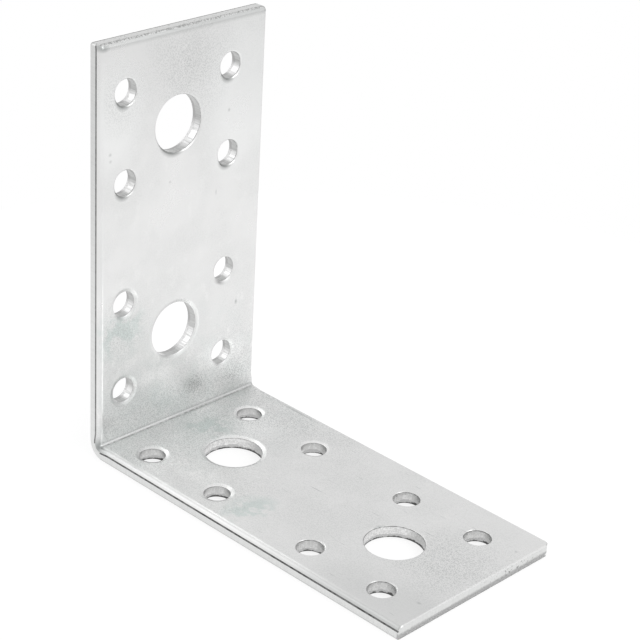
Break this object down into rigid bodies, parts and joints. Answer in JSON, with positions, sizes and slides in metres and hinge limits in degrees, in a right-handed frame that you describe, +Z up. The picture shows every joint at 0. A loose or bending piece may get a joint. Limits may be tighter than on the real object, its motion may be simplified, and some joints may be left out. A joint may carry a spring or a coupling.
{
  "type": "angle bracket",
  "caption": "Right-angle bracket folded from one flat steel strip, with bolt holes and smaller screw holes through both legs.",
  "frame": {"origin": "middle of the bracket's underside: halfway along the base leg and halfway across the strip, on the face that rests on the floor", "axes": "+X along the base leg, away from the fold; +Y across the strip; +Z up the wall leg"},
  "size_m": [0.08, 0.0402, 0.0816],
  "materials": {
    "zinc_coated_steel": "dull silver-grey zinc coating, faintly speckled"
  },
  "bodies": {
    "root": {"bracket": "zinc_coated_steel"}
  },
  "joints": []
}
